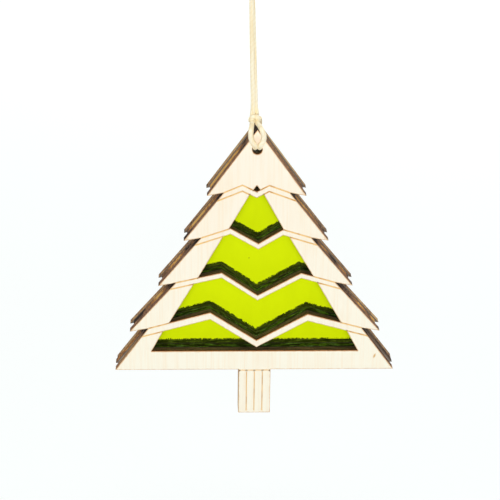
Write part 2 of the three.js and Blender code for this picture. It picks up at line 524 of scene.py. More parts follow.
@dataclass(frozen=True)
class BirchFace:
    """Bare sanded birch veneer with laser scorch: pale, with faint long grain and tan cut edges."""

    name: str = "bare_birch_veneer"
    pale: str = "#fef6e3"
    palest: str = "#fffbe8"
    grain: str = "#fae6c4"
    scorch: str = "#d6a25e"
    score: str = "#edc06a"
    deep_score: str = "#c4873a"
    burn: str = "#5c3610"
    pores: str = "#f0d9ae"
    fleck: str = "#d9a84e"
    fleck_place: tuple[float, float] | None = (37.45, 4.29)
    fleck_size: tuple[float, float] = (0.32, 0.8)
    fleck_turn: float = -20.0  # degrees
    # painted shade of the cord over the hanging hole, and where it falls
    cord_shade: str = "#ecdcc8"
    cord_shade_place: tuple[float, float] = (0.0, 74.6)
    paling: tuple[float, float] = (-0.07, -0.12)  # heights where it starts and is full, in metres
    streaks: Size = (0.6, 2.0, 18.0)
    clouds: Size = (7.0, 7.0, 20.0)
    pore: Size = (0.12, 1.0, 1.6)
    scorch_blotch: Size = (1.1, 1.1, 1.1)
    scorch_reach: tuple[float, float] = (0.12, 0.34)  # millimetres, least and most
    scorch_share: float = 0.8
    score_blotch: Size = (2.2, 2.2, 3.5)
    roughness: float = 0.62
    fibres: Size = (0.2, 1.0, 5.0)
    relief: float = 0.015

    def make(self) -> bpy.types.Material:
        """Builds the veneer: grain along Z, scorch by distance to a cut, toasted score lines.

        Returns:
            The material.
        """
        n = Nodes(bpy.data.materials.new(self.name))
        where = n.add("TexCoord", out="Object")
        # The veneer is a little paler towards the tree's foot.
        up = n.add("SeparateXYZ", None, "Z", Vector=where)
        wood = n.tinted(self.pale, self.palest, up, *self.paling, 1.0)
        # Birch grain shows as soft streaks about half a millimetre wide and some centimetres long.
        wood = n.tinted(wood, self.grain, n.blotches(self.streaks, 4.0, 0.6), 0.45, 0.8, 0.5)
        wood = n.tinted(wood, self.grain, n.blotches(self.clouds, 2.0), 0.5, 0.78, 0.3)
        # Its pores are finer than this, but a tenth of a millimetre wide is what still shows.
        wood = n.tinted(wood, self.pores, n.blotches(self.pore, 2.0), 0.66, 0.8, 0.22)
        # The laser leaves a tan rim a few tenths of a millimetre wide beside each cut.
        rim = n.from_cut(n.blotches(self.scorch_blotch, 2.0), *self.scorch_reach)
        wood = n.tinted(wood, self.scorch, rim, 1.0, 0.0, self.scorch_share)
        # A score line is toasted, darker here and there along its bottom.
        score = n.add("Attribute", {"attribute_name": "score"}, "Fac")
        wood = n.tinted(wood, self.score, score, 0.0, 0.65, 0.85)
        uneven = n.blotches(self.score_blotch, 2.0)
        deeper = n.add("MapRange", i0=uneven, i1=0.4, i2=0.68, i3=0.1, i4=1.0)
        bottom = n.add("Math", {"operation": "MULTIPLY"}, i0=score, i1=deeper)
        wood = n.tinted(wood, self.deep_score, bottom, 0.3, 0.9, 0.9)
        burn = n.add("Attribute", {"attribute_name": "burn"}, "Fac")
        wood = n.tinted(wood, self.burn, burn, 0.15, 0.8, 0.95)
        if self.fleck_place:
            # One amber fleck in the veneer, half a millimetre by a little over one.
            x, z = self.fleck_place
            centre = tuple(in_frame((x, 0.0, z)))
            moved = n.add("VectorMath", {"operation": "SUBTRACT"}, i0=where, i1=centre)
            turn = (0, math.radians(self.fleck_turn), 0)
            turned = n.add("Mapping", Vector=moved, Rotation=turn)
            scale = (1000 / self.fleck_size[0], 0, 1000 / self.fleck_size[1])
            sized = n.add("Mapping", Vector=turned, Scale=scale)
            far = n.add("VectorMath", {"operation": "LENGTH"}, "Value", i0=sized)
            wood = n.tinted(wood, self.fleck, far, 1.3, 0.5, 0.85)
        # Painted shade of the cord darkens the wood a little over the hanging hole.
        x, z = self.cord_shade_place
        centre = tuple(in_frame((x, 0.0, z)))
        near = n.add("VectorMath", {"operation": "DISTANCE"}, "Value", i0=where, i1=centre)
        wood = n.tinted(wood, self.cord_shade, near, 2.6 * MM, 1.0 * MM, 0.9)
        # Sanded and bare, it is matt, with its fibres just raised.
        return n.finish(wood, self.roughness, n.blotches(self.fibres), self.relief,
                        Specular_IOR_Level=0.3)


@dataclass(frozen=True)
class CharredEdge:
    """The laser-cut edge of birch ply: char over three veneers, the outer two darker in section."""

    name: str
    char: str
    brown: str
    toast: str
    bare: str
    seam: str
    seam_share: float = 0.6
    speckle: float = 1.6  # how strongly flecks break up the char
    patchiness: float = 1.3  # and how strongly larger patches do
    fleck: Size = (0.65, 1.1, 0.65)
    patch: Size = (2.6, 1.4, 2.6)
    roughness: float = 0.8
    relief: float = 0.05

    def make(self) -> bpy.types.Material:
        """Builds the char: the mesh's own level of scorch, with the painted shade in the notches,
        broken up along and across the sheet.

        Returns:
            The material.
        """
        n = Nodes(bpy.data.materials.new(self.name))
        # The beam leaves striations across the sheet, drawn two thirds of a millimetre apart so
        # that they show, and the glue lines break them into flecks about a ply deep.
        flecks = n.blotches(self.fleck, 2.0, 0.6)
        patches = n.blotches(self.patch, 3.0, 0.6)
        level = n.add("Attribute", {"attribute_name": "bare"}, "Fac")
        for pattern, strength in ((flecks, self.speckle), (patches, self.patchiness)):
            level = n.add("Math", {"operation": "MULTIPLY_ADD"}, i0=pattern, i1=strength, i2=level)
        middle = 0.5 * (self.speckle + self.patchiness)
        level = n.add("Math", {"operation": "SUBTRACT"}, i0=level, i1=middle)
        colour = n.tinted(self.char, self.brown, level, 0.0, 0.45, 1.0)
        colour = n.tinted(colour, self.toast, level, 0.5, 0.7, 1.0)
        colour = n.tinted(colour, self.bare, level, 0.7, 0.95, 1.0)
        core = n.add("Attribute", {"attribute_name": "core"}, "Fac")
        colour = n.tinted(colour, self.seam, core, 0.75, 0.1, self.seam_share)
        return n.finish(colour, self.roughness, flecks, self.relief, Specular_IOR_Level=0.06)


@dataclass(frozen=True)
class PaintedEdge:
    """A window's laser-cut wall with green craft paint brushed thinly over the char."""

    name: str
    char: str
    brown: str
    paint: str
    paint_share: float
    light: str = "#8a9a4a"
    light_share: float = 0.0
    seam_share: float = 0.7
    glow: str = "#a9bd08"
    edge_y: float | None = None  # where the wall meets the bright panel, on the tree
    streak: Size = (0.35, 3.0, 0.35)
    layer: Size = (4.5, 0.42, 2.5)
    brushed: Size = (3.6, 1.3, 3.6)
    dab: Size = (5.0, 0.6, 1.6)
    run: Size = (0.8, 0.6, 0.8)
    roughness: float = 0.7
    relief: float = 0.05

    def make(self) -> bpy.types.Material:
        """Builds the painted char: blotches a few millimetres long, brighter at the panel.

        Returns:
            The material.
        """
        n = Nodes(bpy.data.materials.new(self.name))
        streaks = n.blotches(self.streak, 3.0, 0.6)
        # The plies show through as ragged lines half a millimetre deep along the wall.
        layers = n.blotches(self.layer, 3.0, 0.6)
        colour = n.tinted(self.char, self.brown, layers, 0.4, 0.6, 1.0)
        # A share of 0 to 1 sets where on the blotches' scale the paint starts.
        low, coat = 0.7 - 0.4 * self.paint_share, n.blotches(self.brushed, 3.0, 0.6)
        colour = n.tinted(colour, self.paint, coat, low, low + 0.09, 0.9)
        if self.light_share:
            low, dabs = 0.72 - 0.3 * self.light_share, n.blotches(self.dab, 2.0, 0.6)
            colour = n.tinted(colour, self.light, dabs, low, low + 0.08, 0.85)
        colour = n.tinted(colour, self.char, streaks, 0.52, 0.7, 0.6)
        # Where two sheets meet, the glue line is charred black.
        core = n.add("Attribute", {"attribute_name": "core"}, "Fac")
        colour = n.tinted(colour, self.char, core, 0.6, 0.0, self.seam_share)
        if self.edge_y is not None:
            # The panel's wet paint has run up the wall in a ragged line.
            depth = n.add("SeparateXYZ", None, "Y", Vector=n.add("TexCoord", out="Object"))
            uneven = n.blotches(self.run)
            drift = n.add("MapRange", i0=uneven, i1=0.3, i2=0.7, i3=-0.5 * MM, i4=0.3 * MM)
            ragged = n.add("Math", {"operation": "ADD"}, i0=depth, i1=drift)
            end = (self.edge_y + TREE_ORIGIN[1]) * MM
            colour = n.tinted(colour, self.glow, ragged, end - 0.2 * MM, end, 0.85)
        return n.finish(colour, self.roughness, streaks, self.relief, Specular_IOR_Level=0.06)


@dataclass(frozen=True)
class ToastedLip:
    """The thin corner of a cut, where the beam toasts the face veneer orange-brown."""

    name: str
    toast: str
    dark: str
    stretch: Size = (1.2, 1.2, 1.2)
    grit: Size = (0.3, 0.3, 0.3)
    roughness: float = 0.7
    relief: float = 0.02

    def make(self) -> bpy.types.Material:
        """Builds the lip: toast broken by darker stretches about a millimetre long.

        Returns:
            The material.
        """
        n = Nodes(bpy.data.materials.new(self.name))
        colour = n.tinted(self.toast, self.dark, n.blotches(self.stretch), 0.42, 0.62, 0.9)
        return n.finish(colour, self.roughness, n.blotches(self.grit), self.relief,
                        Specular_IOR_Level=0.25)


@dataclass(frozen=True)
class LimePaint:
    """Bright lime craft paint, matt, on thin board, with dark specks and a rim of smoke and painted
    shade at each wall.
    """

    name: str = "lime_craft_paint"
    bright: str = "#e8fd00"
    shade: str = "#e3f800"
    speck: str = "#6f7d10"
    # the rim's colour: smoke and painted shade where the panel meets the walls
    rim: str = "#2f3d08"
    smoke_and_shade_reach: tuple[float, float] = (0.01, 0.38)  # millimetres, least and most
    smoke_and_shade_blotch: Size = (1.0, 1.0, 1.0)
    brush_cloud: Size = (3.0, 3.0, 9.0)
    speck_spacing: float = 3.2  # millimetres
    speck_field: Size = (5.0, 5.0, 5.0)
    stipple: Size = (0.5, 0.5, 0.9)
    roughness: float = 0.55
    relief: float = 0.02

    def make(self) -> bpy.types.Material:
        """Builds the paint: faint brush clouds, a few dark specks and a ragged rim of smoke and
        painted shade.

        Returns:
            The material.
        """
        n = Nodes(bpy.data.materials.new(self.name))
        paint = n.tinted(self.bright, self.shade, n.blotches(self.brush_cloud), 0.4, 0.75, 0.7)
        # Round specks sit at a few of the cells' middles, where the wider pattern lets them show.
        where, scale = n.add("TexCoord", out="Object"), (1000 / self.speck_spacing,) * 3
        spots = n.add("Mapping", Vector=where, Scale=scale)
        cells = n.add("TexVoronoi", {"feature": "F1"}, "Distance", Vector=spots, Scale=1.0,
                      Randomness=1.0)
        wider = n.blotches(self.speck_field, 1.0)
        hidden = n.add("MapRange", i0=wider, i1=0.58, i2=0.66, i3=0.3, i4=0.0)
        speck = n.add("Math", {"operation": "ADD"}, i0=cells, i1=hidden)
        paint = n.tinted(paint, self.speck, speck, 0.1, 0.05, 0.6)
        # Beside the windows' walls, smoke and painted shade make a ragged dark rim up to 0.4
        # millimetres wide.
        rim = n.from_cut(n.blotches(self.smoke_and_shade_blotch, 3.0, 0.7), *self.smoke_and_shade_reach)
        paint = n.tinted(paint, self.rim, rim, 1.1, 0.7, 0.95)
        return n.finish(paint, self.roughness, n.blotches(self.stipple), self.relief,
                        Specular_IOR_Level=0.06)


@dataclass(frozen=True)
class CottonCord:
    """Soft twisted cotton cord, unbleached: matt cream with fine fibres along each ply."""

    name: str = "twisted_cotton"
    cream: str = "#fff9e0"
    shade: str = "#f5d488"
    fuzz: str = "#fff0c8"
    fibre_counts: tuple[float, float, float] = (42.0, 60.0, 1.0)  # on the map's width and height
    # stretches of painted warm light that tint the cotton gold
    painted_warm_light: Size = (1.0, 1.0, 14.0)
    roughness: float = 0.9
    relief: float = 0.04

    def make(self) -> bpy.types.Material:
        """Builds the cotton: fibres along the plies by the cord's own map, painted tan shade in the
        grooves.

        Returns:
            The material.
        """
        n = Nodes(bpy.data.materials.new(self.name))
        where = n.add("UVMap", {"uv_map": "cord"})
        # Real fibres are too fine to show, so they are drawn a tenth of a millimetre wide.
        sized = n.add("Mapping", Vector=where, Scale=self.fibre_counts)
        fibres = n.add("TexNoise", Vector=sized, Scale=1.0, Detail=3.0, Roughness=0.6)
        colour = n.tinted(self.cream, self.shade, fibres, 0.35, 0.75, 0.2)
        # Painted shade: the valleys between the plies, and the cut ends, are tinted tan.
        groove = n.add("Attribute", {"attribute_name": "groove"}, "Fac")
        colour = n.tinted(colour, self.shade, groove, 0.3, 1.0, 0.22)
        # Painted warm light tints the cotton gold in stretches of a centimetre or two.
        colour = n.tinted(colour, self.shade, n.blotches(self.painted_warm_light, 2.0), 0.42, 0.62, 0.4)
        # Loose fibres stand off the plies, which gives the cord its soft pale edge.
        return n.finish(colour, self.roughness, fibres, self.relief, Sheen_Weight=0.9,
                        Sheen_Roughness=0.4, Sheen_Tint=self.fuzz, Specular_IOR_Level=0.2)


# Meshes

def new_piece(name: str, verts: np.ndarray, faces: list[list[int]],
              materials: list[bpy.types.Material],
              slots: np.ndarray | None = None) -> bpy.types.Object:
    """Makes an object at the origin from points in the frame.

    Args:
        name: the piece's name.
        verts: rows of x, y and z in metres.
        faces: each face's corners.
        materials: the piece's material slots.
        slots: each face's slot; all 0 if left out.

    Returns:
        The object, linked to the scene.
    """
    mesh = bpy.data.meshes.new(name)
    mesh.from_pydata(np.asarray(verts).tolist(), [], faces)
    for material in materials:
        mesh.materials.append(material)
    if slots is not None:
        mesh.polygons.foreach_set("material_index", np.asarray(slots, np.int32))
    mesh.update()
    piece = bpy.data.objects.new(name, mesh)
    bpy.context.scene.collection.objects.link(piece)
    return piece


def add_numbers(piece: bpy.types.Object, name: str, values: np.ndarray) -> None:
    """Stores one number for each point of a piece."""
    layer = piece.data.attributes.new(name, "FLOAT", "POINT")
    layer.data.foreach_set("value", np.asarray(values, np.float32))


def weld(piece: bpy.types.Object, gap: float = 2e-6) -> None:
    """Merges points that meet and turns all faces outwards.

    Args:
        piece: the piece.
        gap: how near two points lie that meet, in metres.
    """
    shape = bmesh.new()
    shape.from_mesh(piece.data)
    bmesh.ops.remove_doubles(shape, verts=shape.verts, dist=gap)
    bmesh.ops.recalc_face_normals(shape, faces=shape.faces)
    shape.to_mesh(piece.data)
    shape.free()
    piece.data.update()


class Slot(Enum):
    """Which surface of a sheet a face belongs to."""

    FACE = 0
    EDGE = 1
    WINDOW = 2
    BACK = 3
    LIP = 4
    SILL = 5


class Side(Enum):
    """A side of the tree, as the way round an outline from its apex."""

    LEFT = -1
    RIGHT = 1


@dataclass(frozen=True)
class Patch:
    """A stretch of a sheet's upper edges that the laser charred more or less than the rest."""

    side: Side
    tier: int
    along: float  # share of the way down from the notch to the tip
    reach: float  # millimetres to either side
    amount: float  # above 0 for bare wood, below 0 for char

    def level_at(self, points: np.ndarray, outline: np.ndarray) -> np.ndarray:
        """How much the patch adds at each point: a bell that fades with distance.

        Args:
            points: rows of x and z.
            outline: the sheet's outline, clockwise from the apex.

        Returns:
            One number for each point.
        """
        way, corner = self.side.value, 2 * self.tier
        start, tip = outline[way * corner], outline[way * (corner + 1)]
        centre = start + self.along * (tip - start)
        return self.amount * np.exp(-np.sum((points - centre) ** 2, axis=1) / self.reach ** 2)


@dataclass
class CutSheet:
    """One laser-cut sheet: faces filled between its loops, and a wall along each loop.

    The front face is a triangulation of the outline, the windows, the score lines and rings of
    points beside every cut, so that distance to the cut can be read at each point.
    """

    name: str
    node: str
    plan: TreePlan
    outline: np.ndarray
    front: float  # depth of the front face behind the tree's front
    thickness: float
    materials: list[bpy.types.Material]  # in the order of Slot
    windows: list[np.ndarray] = field(default_factory=list)
    marks: list[np.ndarray] = field(default_factory=list)  # loops that count as cuts for colour
    score: list[tuple[np.ndarray, float]] = field(default_factory=list)  # lines and half widths
    burns: np.ndarray = field(default_factory=lambda: np.zeros((0, 2)))
    patches: tuple[Patch, ...] = ()
    chamfer: float = 0.08
    veneer: float = 0.5  # the outer veneer's thickness
    lip_share: float = 0.6  # how far into it the outline's toasted lip reaches
    groove_depth: float = 0.15
    groove_ends: tuple[float, float] = (0.18, 0.15)  # how far its tips and its bottom are drawn in
    burn_reach: float = 0.5
    tip_char: tuple[float, float] = (1.1, 0.45)  # how far it reaches and how much at most
    # Painted shade of the tier above, in the notches: how far it reaches and how much at most.
    notch_shade: tuple[float, float] = (3.8, 1.6)
    trunk_level: float = 1.3
    wall_step: float = 0.7
    ring_steps: tuple[float, ...] = (0.12, 0.3, 0.6, 1.0)
    grid: float = 1.7
    grid_gap: float = 1.2  # between the grid's points and a cut
    score_step: float = 0.5
    score_gap: float = 2.2  # between loose points and a score line, in its half widths
    guard_gap: float = 2.0  # between a score line and the points that guard it, likewise
    guard_cut_gap: float = 0.15

    def loops(self) -> list[np.ndarray]:
        """All the loops that are cut through the sheet, the outline first."""
        return [self.outline, *self.windows, self.plan.hole()]

    def face_loops(self) -> list[np.ndarray]:
        """The loops of the faces, drawn back from the cuts by the chamfer.

        Returns:
            The outline's loop, then one for each opening.
        """
        outer, *holes = self.loops()
        return [offset_loop(outer, -self.chamfer),
                *[offset_loop(hole, self.chamfer) for hole in holes]]

    def on_sheet(self, points: np.ndarray) -> np.ndarray:
        """Whether each point is on the face.

        Args:
            points: rows of x and z.

        Returns:
            True for each point inside the outline and outside every opening.
        """
        outer, *holes = self.face_loops()
        held = is_inside(points, outer)
        for hole in holes:
            held &= ~is_inside(points, hole)
        return held

    def loose_points(self) -> np.ndarray:
        """Rings of points beside every cut and score line, and a grid over the rest.

        Returns:
            Rows of x and z. A ring's points go where they come nearer to another cut, and those
            beside a score line where they come nearer to another line.
        """
        cuts, rings = [*self.loops(), *self.marks], []
        nearly = 0.95  # a point's distance, as a share of its own, under which it has to go
        for reach in (step + self.chamfer for step in self.ring_steps):
            for loop, side in ((loop, side) for loop in cuts for side in (-1, 1)):
                moved = offset_loop(loop, side * reach)
                ring = along_line(np.vstack([moved, moved[:1]]), self.wall_step)
                rings.append(ring[distance_to(ring, cuts) > nearly * reach])
        low, high = self.outline.min(axis=0), self.outline.max(axis=0)
        xs, zs = (np.arange(a, b, self.grid) for a, b in zip(low, high))
        grid = np.stack(np.meshgrid(xs, zs), axis=-1).reshape(-1, 2)
        grid = grid[distance_to(grid, cuts) > self.grid_gap]
        turn = np.linspace(0, 2 * np.pi, 7, endpoint=False)
        dots = [self.burns + share * self.burn_reach * np.array([math.cos(t), math.sin(t)])
                for t in turn for share in (0.5, 1)]
        points = np.vstack([*rings, grid, *dots])
        points = points[self.on_sheet(points)]
        if not self.score:
            return points
        for line, half in self.score:
            points = points[self.distance_to_line(points, line) > self.score_gap * half]
        guards = np.vstack([
            along_line(offset_line(line, side * self.guard_gap * half), self.score_step)
            for line, half in self.score for side in (-1, 1)])
        clear = distance_to(guards, cuts) > self.guard_cut_gap
        guards = guards[self.on_sheet(guards) & clear]
        others = np.min([self.distance_to_line(guards, line) / half
                         for line, half in self.score], axis=0)
        return np.vstack([points, guards[others > nearly * self.guard_gap]])

    @staticmethod
    def distance_to_line(points: np.ndarray, line: np.ndarray) -> np.ndarray:
        """Distance from each point to an open line, run there and back as a loop."""
        return distance_to(points, [np.vstack([line, line[-2:0:-1]])])

    def fill(self, loops: list[np.ndarray], lines: list[np.ndarray],
             points: np.ndarray) -> tuple[np.ndarray, np.ndarray]:
        """Triangulates the face between its loops.

        Args:
            loops: closed loops that stay as edges.
            lines: open lines that stay as edges.
            points: loose points.

        Returns:
            The points and the triangles that lie on the sheet.
        """
        edges, start = [], 0
        for index, path in enumerate((*loops, *lines)):
            order = start + np.arange(len(path))
            sides = np.stack([order, np.roll(order, -1)], axis=1)
            edges.append(sides if index < len(loops) else sides[:-1])
            start += len(path)
        flat = np.vstack([*loops, *lines, points])
        made = delaunay_2d_cdt([Vector(p) for p in flat.tolist()], np.vstack(edges).tolist(),
                               [], 0, 1e-5, False)
        verts, faces = np.array([tuple(v) for v in made[0]]), np.array(made[2])
        return verts, faces[self.on_sheet(verts[faces].mean(axis=1))]

    def wall_loops(self) -> list[tuple[np.ndarray, np.ndarray]]:
        """Each loop and its drawn-back loop, divided alike along their sides."""
        return [(spaced(loop, loop, self.wall_step), spaced(drawn, loop, self.wall_step))
                for loop, drawn in zip(self.loops(), self.face_loops())]

    @staticmethod
    def drawn_in(line: np.ndarray, length: float) -> np.ndarray:
        """An open line whose two ends are moved in along it.

        Args:
            line: rows of x and z.
            length: how far each end moves.

        Returns:
            The shorter line.
        """
        moved = line.copy()
        for end, other in ((0, 1), (-1, -2)):
            run = moved[other] - moved[end]
            moved[end] = moved[end] + run / np.linalg.norm(run) * length
        return moved

    def groove(self, line: np.ndarray, half: float) -> tuple[list[np.ndarray], np.ndarray]:
        """A score line's rails and its bottom line, drawn in at both ends.

        Args:
            line: the line's course.
            half: half of the groove's width.

        Returns:
            The rails joined at the tips, and the bottom line.
        """
        tips, bottom = self.groove_ends
        drawn = self.drawn_in(line, tips)
        inner = along_line(self.drawn_in(drawn, bottom), self.score_step)
        rails = [np.vstack([drawn[:1], offset_line(inner, side * half), drawn[-1:]])
                 for side in (-1, 1)]
        return rails, inner

    def front_face(self) -> tuple[np.ndarray, np.ndarray, dict[str, np.ndarray]]:
        """The front face with its grooves.

        Returns:
            Points with their depth, triangles, and the numbers for the material.
        """
        lines, bottoms = [], []
        for line, half in self.score:
            rails, bottom = self.groove(line, half)
            lines += [*rails, bottom]
            bottoms.append((bottom, half))
        loops = [drawn for _, drawn in self.wall_loops()]
        verts, faces = self.fill(loops, lines, self.loose_points())
        cut = distance_to(verts, [*self.loops(), *self.marks]) - self.chamfer
        depth, score, burn = np.zeros((3, len(verts)))
        for bottom, half in bottoms:
            near = self.distance_to_line(verts, bottom)
            depth = np.where(near < 1e-3, self.groove_depth, depth)
            score = np.maximum(score, np.clip(1 - near / (2 * half), 0, 1))
        for dot in self.burns:
            near = np.linalg.norm(verts - dot, axis=1)
            burn = np.maximum(burn, np.clip(1 - near / self.burn_reach, 0, 1))
        points = np.stack([verts[:, 0], self.front + depth, verts[:, 1]], axis=1)
        return points, faces, {"cut_mm": np.maximum(cut, 0), "score": score, "burn": burn}

    def back_face(self) -> tuple[np.ndarray, np.ndarray, np.ndarray]:
        """The plain back face.

        Returns:
            Points with their depth, triangles, and each point's distance to a cut.
        """
        loops = [drawn for _, drawn in self.wall_loops()]
        verts, faces = self.fill(loops, [], self.loose_points())
        cut = np.maximum(distance_to(verts, self.loops()) - self.chamfer, 0)
        rear = np.full(len(verts), self.front + self.thickness)
        return np.stack([verts[:, 0], rear, verts[:, 1]], axis=1), faces, cut

    def bare_level(self, points: np.ndarray) -> np.ndarray:
        """How bare the outer edge is at each point: 0 for char, 0.5 for brown, 1 for wood; painted
        shade in the notches lowers it too.

        Args:
            points: rows of x and z on the outline.

        Returns:
            The patches' sum, charred at the tips, with painted shade of the tier above in the
            notches, and barer on the trunk.
        """
        level = np.full(len(points), 0.5)
        for patch in self.patches:
            level += patch.level_at(points, self.outline)
        half, steepness = len(self.outline) // 2, 1.4  # above 1, the tips' char and the notches' painted shade are full near their corners
        for first, (reach, most) in ((1, self.tip_char), (2, self.notch_shade)):
            order = np.arange(first, half - first, 2)
            corners = self.outline[[*order, *-order]]
            near = np.linalg.norm(points[:, None] - corners, axis=2).min(axis=1)
            level -= most * np.clip(steepness * (1 - near / reach), 0, 1)
        return np.where(points[:, 1] < 0, self.trunk_level, level)

    def walls(self) -> tuple[np.ndarray, np.ndarray, np.ndarray, dict[str, np.ndarray]]:
        """A chamfer and a wall along each loop, and the chamfer behind.

        The outline's toasted lip ends within the outer veneer, and a window's at its back.

        Returns:
            Points, faces, each face's slot, and the numbers for the edge's material.
        """
        points, faces, slots, core, bare, start = [], [], [], [], [], 0
        rear = self.front + self.thickness
        deep = min(self.veneer, 0.45 * self.thickness)  # so that the thin panel keeps a core
        for index, (loop, drawn) in enumerate(self.wall_loops()):
            outer, count = index == 0, len(loop)
            rows = [(drawn, self.front, 0), (loop, self.front + self.chamfer, 0),
                    (loop, self.front + self.lip_share * deep, 0), (loop, self.front + deep, 1),
                    (loop, rear - deep, 1), (loop, rear - self.chamfer, 0), (drawn, rear, 0)]
            for flat, depth, inner in rows:
                points.append(np.stack([flat[:, 0], np.full(count, depth), flat[:, 1]], axis=1))
                core.append(np.full(count, inner))
                bare.append(self.bare_level(flat) if outer else np.full(count, 0.5))
            ring = start + np.arange(len(rows) * count).reshape(len(rows), count)
            beside = np.roll(ring, -1, axis=1)
            quads = np.stack([ring[:-1], beside[:-1], beside[1:], ring[1:]], axis=-1)
            faces.append(quads.reshape(-1, 4))
            slot = np.full(quads.shape[:2], (Slot.EDGE if outer else Slot.WINDOW).value)
            slot[:2 if outer else 3] = (Slot.LIP if outer else Slot.SILL).value
            slot[0] = Slot.FACE.value
            slots.append(slot.ravel())
            start += ring.size
        return (np.vstack(points), np.vstack(faces), np.concatenate(slots),
                {"core": np.concatenate(core), "bare": np.concatenate(bare)})

    def build(self, body: str, slot_name: str) -> bpy.types.Object:
        """Builds the sheet and puts it in place of its node.

        Args:
            body: the body it rides on.
            slot_name: the record's material slot; not used.

        Returns:
            The piece.
        """
        front_points, front_tris, numbers = self.front_face()
        back_points, back_tris, back_cut = self.back_face()
        wall_points, wall_faces, wall_slots, wall_numbers = self.walls()
        points = np.vstack([front_points, back_points, wall_points])
        start = len(points) - len(wall_points)
        faces = [*front_tris.tolist(), *(back_tris + len(front_points)).tolist(),
                 *(wall_faces + start).tolist()]
        slots = np.concatenate([np.full(len(front_tris), Slot.FACE.value),
                                np.full(len(back_tris), Slot.BACK.value), wall_slots])
        piece = new_piece(self.name, in_frame(points), faces, self.materials, slots)
        numbers["cut_mm"] = np.concatenate([numbers["cut_mm"], back_cut])
        for key, values in numbers.items():
            add_numbers(piece, key, np.pad(values, (0, len(points) - len(values))))
        for key, values in wall_numbers.items():
            add_numbers(piece, key, np.pad(values, (start, 0)))
        weld(piece)
        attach(piece, body)
        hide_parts(self.node)
        return piece


# Cord

def lengths_along(line: np.ndarray) -> np.ndarray:
    """The length from a line's start to each of its points."""
    return np.concatenate([[0], np.cumsum(np.linalg.norm(np.diff(line, axis=0), axis=1))])


def smooth_route(points: np.ndarray, step: float, samples: int = 24) -> np.ndarray:
    """Evenly spaced points on a centripetal Catmull-Rom curve through given points.

    Each span blends its four neighbours in pairs, three times over, each pair by how far the
    place lies between two knots. The knots are spaced by the square root of the distance between
    the points.

    Args:
        points: rows of x, y and z.
        step: spacing of the result.
        samples: how many points of the curve are worked out between two given ones.

    Returns:
        The points along the curve.
    """
    ends = np.vstack([2 * points[0] - points[1], points, 2 * points[-1] - points[-2]])
    knots = np.concatenate([[0], np.cumsum(np.sqrt(np.linalg.norm(np.diff(ends, axis=0), axis=1)))])
    dense = []
    for i in range(1, len(ends) - 2):
        t = np.linspace(knots[i], knots[i + 1], samples, endpoint=False)[:, None]
        p, k = ends[i - 1:i + 3], knots[i - 1:i + 3]
        for pairs in (((0, 1), (1, 2), (2, 3)), ((0, 2), (1, 3)), ((1, 2),)):
            p = [(k[b] - t) / (k[b] - k[a]) * p[j] + (t - k[a]) / (k[b] - k[a]) * p[j + 1]
                 for j, (a, b) in enumerate(pairs)]
        dense.append(p[0])
    line = np.vstack([*dense, points[-1:]])
    run = lengths_along(line)
    even = np.linspace(0, run[-1], round(run[-1] / step) + 1)
    return np.stack([np.interp(even, run, line[:, axis]) for axis in range(3)], axis=1)


def carried_frames(route: np.ndarray) -> tuple[np.ndarray, np.ndarray]:
    """Two directions across the route at each point, carried along without turning about it.

    Args:
        route: points along the cord.

    Returns:
        The two directions, each a row for each point.
    """
    along = np.gradient(route, axis=0)
    along /= np.linalg.norm(along, axis=1)[:, None]
    askew = [0.31, 0.87, 0.22]  # a direction in which no stretch starts
    side = np.cross(along[0], askew)
    across = np.empty_like(route)
    for i, direction in enumerate(along):
        side = side - direction * (side @ direction)
        side = side / np.linalg.norm(side)
        across[i] = side
    return across, np.cross(along, across)


